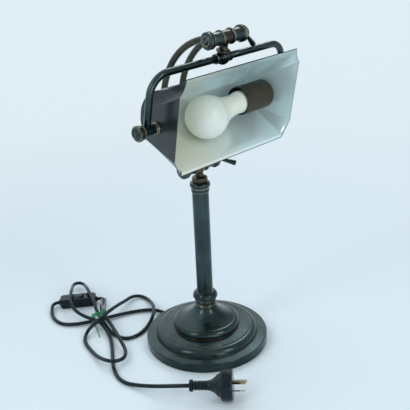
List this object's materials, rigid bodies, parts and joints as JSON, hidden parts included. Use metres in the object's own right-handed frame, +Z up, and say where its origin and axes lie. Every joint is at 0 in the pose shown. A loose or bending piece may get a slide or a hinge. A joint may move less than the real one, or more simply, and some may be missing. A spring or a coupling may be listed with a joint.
{
  "type": "bankers lamp",
  "caption": "Desk lamp with a trough shade in a swivelling yoke, hung from tilting curved arms on a weighted round base, with a switched cord.",
  "frame": {"origin": "centre of the base on the table", "axes": "+Z up, the shade's long axis and its pivot along X, the open side of the shade towards -Y, the cord leaves at +Y"},
  "size_m": [0.3112, 0.4462, 0.4923],
  "materials": {
    "dark_bronze": "satin, aged dark bronze",
    "worn_bronze": "satin, brown where it is handled",
    "shade_skin": "satin outside, white enamel inside",
    "steel": "brushed",
    "cast_iron": "rough",
    "brass": "satin",
    "felt": "matt",
    "dark_moulding": "matt",
    "opal": "satin",
    "ivory": "satin",
    "aluminium": "satin",
    "black_cable": "satin",
    "black_plastic": "semi-gloss",
    "green_tie": "matt"
  },
  "bodies": {
    "root": {"base_shell": "dark_bronze", "base_weight": "cast_iron", "felt_pad": "felt", "rod_washer": "steel", "rod_nut": "steel", "tie_rod": "steel", "foot_collar": "dark_bronze", "column_tube": "dark_bronze", "column_head": "dark_bronze", "inner_lead": "black_cable", "cord_grommet": "dark_moulding", "cord_base_lead": "black_cable", "cord_loops": "black_cable", "cord_plug_lead": "black_cable", "bundle_tie": "green_tie", "switch_lower": "black_plastic", "switch_upper": "black_plastic", "switch_screws": "steel", "plug_body": "black_plastic", "plug_pins": "brass", "plug_sleeves": "black_plastic"},
    "rocker": {"switch_rocker": "black_plastic"},
    "neck": {"lower_knuckle": "worn_bronze"},
    "arms": {"arm_left": "dark_bronze", "arm_right": "dark_bronze", "lower_barrel_left": "dark_bronze", "lower_barrel_right": "dark_bronze", "upper_barrel_left": "dark_bronze", "upper_barrel_right": "dark_bronze", "lower_friction_rings": "dark_bronze", "upper_friction_rings": "dark_bronze", "lower_bolt": "steel", "upper_bolt": "steel", "lower_end_knob": "dark_bronze", "upper_end_knob": "dark_bronze"},
    "lower_lever": {"lower_lever_cap": "dark_bronze", "lower_lever_peg": "dark_bronze"},
    "upper_lever": {"upper_lever_cap": "dark_bronze", "upper_lever_peg": "dark_bronze"},
    "tee": {"upper_knuckle": "worn_bronze"},
    "yoke": {"yoke_tube_left": "dark_bronze", "yoke_tube_right": "dark_bronze", "yoke_hub": "dark_bronze", "yoke_boss_left": "worn_bronze", "yoke_boss_right": "worn_bronze"},
    "knob_left": {"pivot_knob_left": "dark_bronze"},
    "knob_right": {"pivot_knob_right": "dark_bronze"},
    "shade": {"shade_trough": "shade_skin", "shade_end_left": "shade_skin", "shade_end_right": "shade_skin", "pivot_flange_left": "worn_bronze", "pivot_flange_right": "worn_bronze", "pivot_pin_left": "steel", "pivot_pin_right": "steel", "socket_cup": "dark_moulding", "lampholder": "dark_moulding", "holder_contacts": "brass", "bulb_globe": "opal", "bulb_neck": "ivory", "bulb_cap": "aluminium"}
  },
  "joints": [
    {"name": "rocker_press", "type": "hinge", "parent": "root", "child": "rocker", "pos_m": [-0.0727, 0.23935, 0.0136], "axis": [0.62, 0.7846, 0], "range_deg": [0, 16]},
    {"name": "neck_swivel", "type": "hinge", "parent": "root", "child": "neck", "pos_m": [0, 0, 0.262], "axis": [0, 0, 1], "range_deg": [-170, 170]},
    {"name": "arm_tilt", "type": "hinge", "parent": "neck", "child": "arms", "pos_m": [0, 0, 0.2916], "axis": [1, 0, 0], "range_deg": [-30, 50]},
    {"name": "lower_lever_turn", "type": "hinge", "parent": "arms", "child": "lower_lever", "pos_m": [0, 0, 0.2916], "axis": [1, 0, 0], "range_deg": [-60, 60]},
    {"name": "upper_lever_turn", "type": "hinge", "parent": "arms", "child": "upper_lever", "pos_m": [0, -0.0592, 0.4807], "axis": [1, 0, 0], "range_deg": [-60, 60]},
    {"name": "tee_tilt", "type": "hinge", "parent": "arms", "child": "tee", "pos_m": [0, -0.0592, 0.4807], "axis": [1, 0, 0], "range_deg": [-60, 3]},
    {"name": "yoke_swivel", "type": "hinge", "parent": "tee", "child": "yoke", "pos_m": [0, -0.0592, 0.4807], "axis": [0, -0.21, 0.9777], "range_deg": [-30, 30]},
    {"name": "shade_tilt", "type": "hinge", "parent": "yoke", "child": "shade", "pos_m": [0, -0.038, 0.382], "axis": [1, 0, 0], "range_deg": [-12, 70]},
    {"name": "knob_left_turn", "type": "hinge", "parent": "yoke", "child": "knob_left", "pos_m": [0, -0.038, 0.382], "axis": [1, 0, 0], "range_deg": [-180, 180]},
    {"name": "knob_right_turn", "type": "hinge", "parent": "yoke", "child": "knob_right", "pos_m": [0, -0.038, 0.382], "axis": [1, 0, 0], "range_deg": [-180, 180]}
  ]
}
